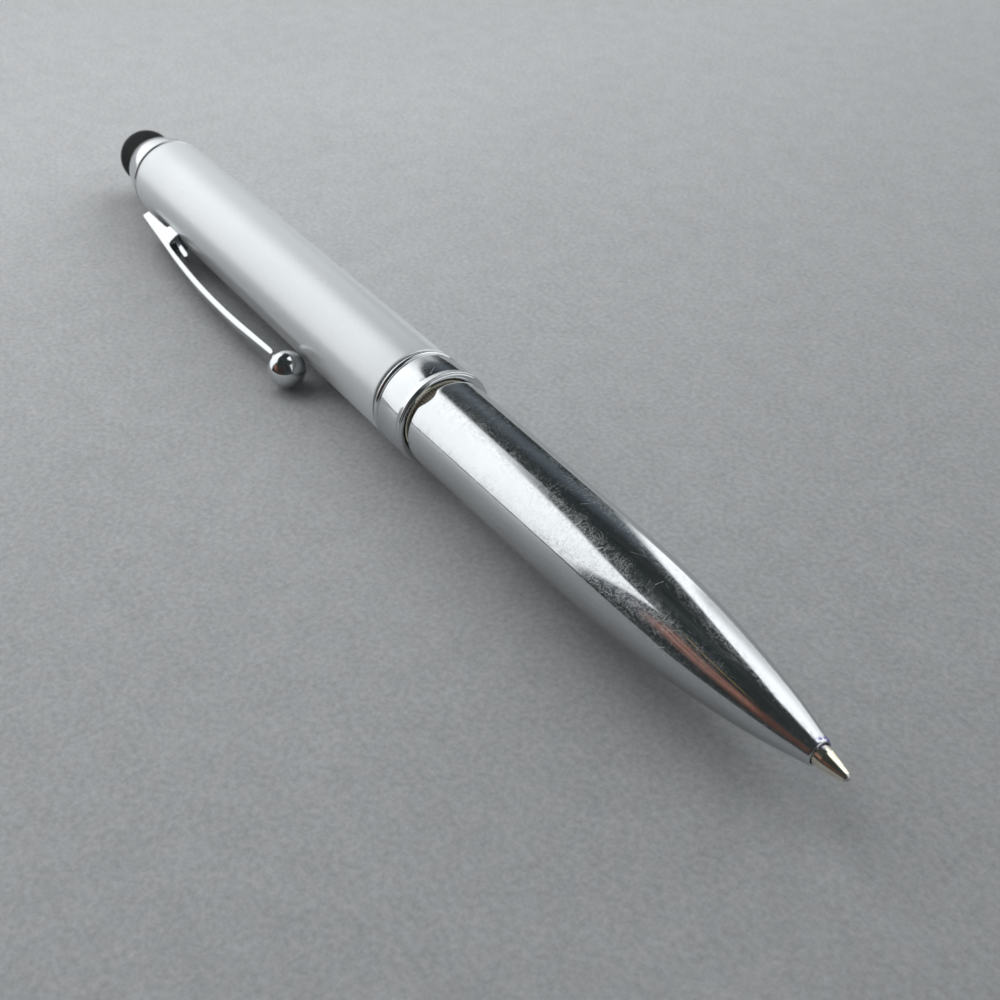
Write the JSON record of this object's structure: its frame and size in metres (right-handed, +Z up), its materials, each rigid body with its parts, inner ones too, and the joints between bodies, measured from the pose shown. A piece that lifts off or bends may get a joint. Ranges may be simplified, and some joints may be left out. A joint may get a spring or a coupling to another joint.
{
  "type": "twist ballpoint pen with stylus",
  "caption": "Twist-action metal ballpoint pen with a rubber stylus dome, chrome centre ring, bullet-shaped lower barrel and a sprung clip ending in a ball.",
  "frame": {"origin": "middle of the underside of the pen's box, on the plane it lies on", "axes": "+X along the pen towards the writing point, +Z up, the clip stands off towards -Y and 25.3 degrees below the horizontal"},
  "size_m": [0.1398, 0.0146, 0.011],
  "materials": {
    "satin_barrel": "satin silver lacquer with fine metal flake",
    "chrome_trim": "polished chrome plate, lightly scratched",
    "chrome_barrel": "polished chrome plate with many fine swirl scratches",
    "stylus_rubber": "soft matt conductive rubber",
    "brass": "turned",
    "neck_brass": "splined, tarnished and oily",
    "steel": "turned",
    "refill_metal": "nickel silver, bright",
    "nylon": "moulded",
    "seal_rubber": "smooth",
    "ink": "thick blue ink paste"
  },
  "bodies": {
    "upper": {"upper_barrel": "satin_barrel", "stylus_collar": "chrome_trim", "stylus_dome": "stylus_rubber", "dome_plug": "nylon", "collar_bush": "brass", "clip_retainer": "brass", "clip_root": "chrome_trim", "ring_sleeve": "brass", "centre_ring": "chrome_trim", "mechanism_housing": "brass", "mechanism_end_cap": "nylon"},
    "clip": {"clip_arm": "chrome_trim", "clip_ball": "chrome_trim"},
    "lower": {"lower_barrel": "chrome_barrel", "splined_neck": "neck_brass", "twist_core": "steel", "friction_o_ring": "seal_rubber", "thrust_washer": "nylon", "circlip": "steel"},
    "refill": {"slider": "brass", "slider_pin": "steel", "refill_tube": "refill_metal", "ink_column": "ink", "refill_tip": "refill_metal"},
    "point_ball": {"writing_ball": "steel"}
  },
  "joints": [
    {"name": "twist", "type": "hinge", "parent": "upper", "child": "lower", "pos_m": [0, 0.00179, 0.0055], "axis": [1, 0, 0], "range_deg": [-180, 0]},
    {"name": "refill_slide", "type": "slide", "parent": "lower", "child": "refill", "axis": [1, 0, 0], "range_m": [-0.0055, 0]},
    {"name": "clip_flex", "type": "hinge", "parent": "upper", "child": "clip", "pos_m": [-0.0434, -0.00472, 0.00242], "axis": [0, 0.4274, -0.9041], "range_deg": [0, 6], "stiffness_Nm_per_rad": 0.05},
    {"name": "ball_roll", "type": "hinge", "parent": "refill", "child": "point_ball", "pos_m": [0.06958, 0.00179, 0.0055], "axis": [0, 1, 0], "continuous": true}
  ],
  "couplings": [
    {"joint": "refill_slide", "follows": "twist", "m_per_rad": 0.00175}
  ]
}
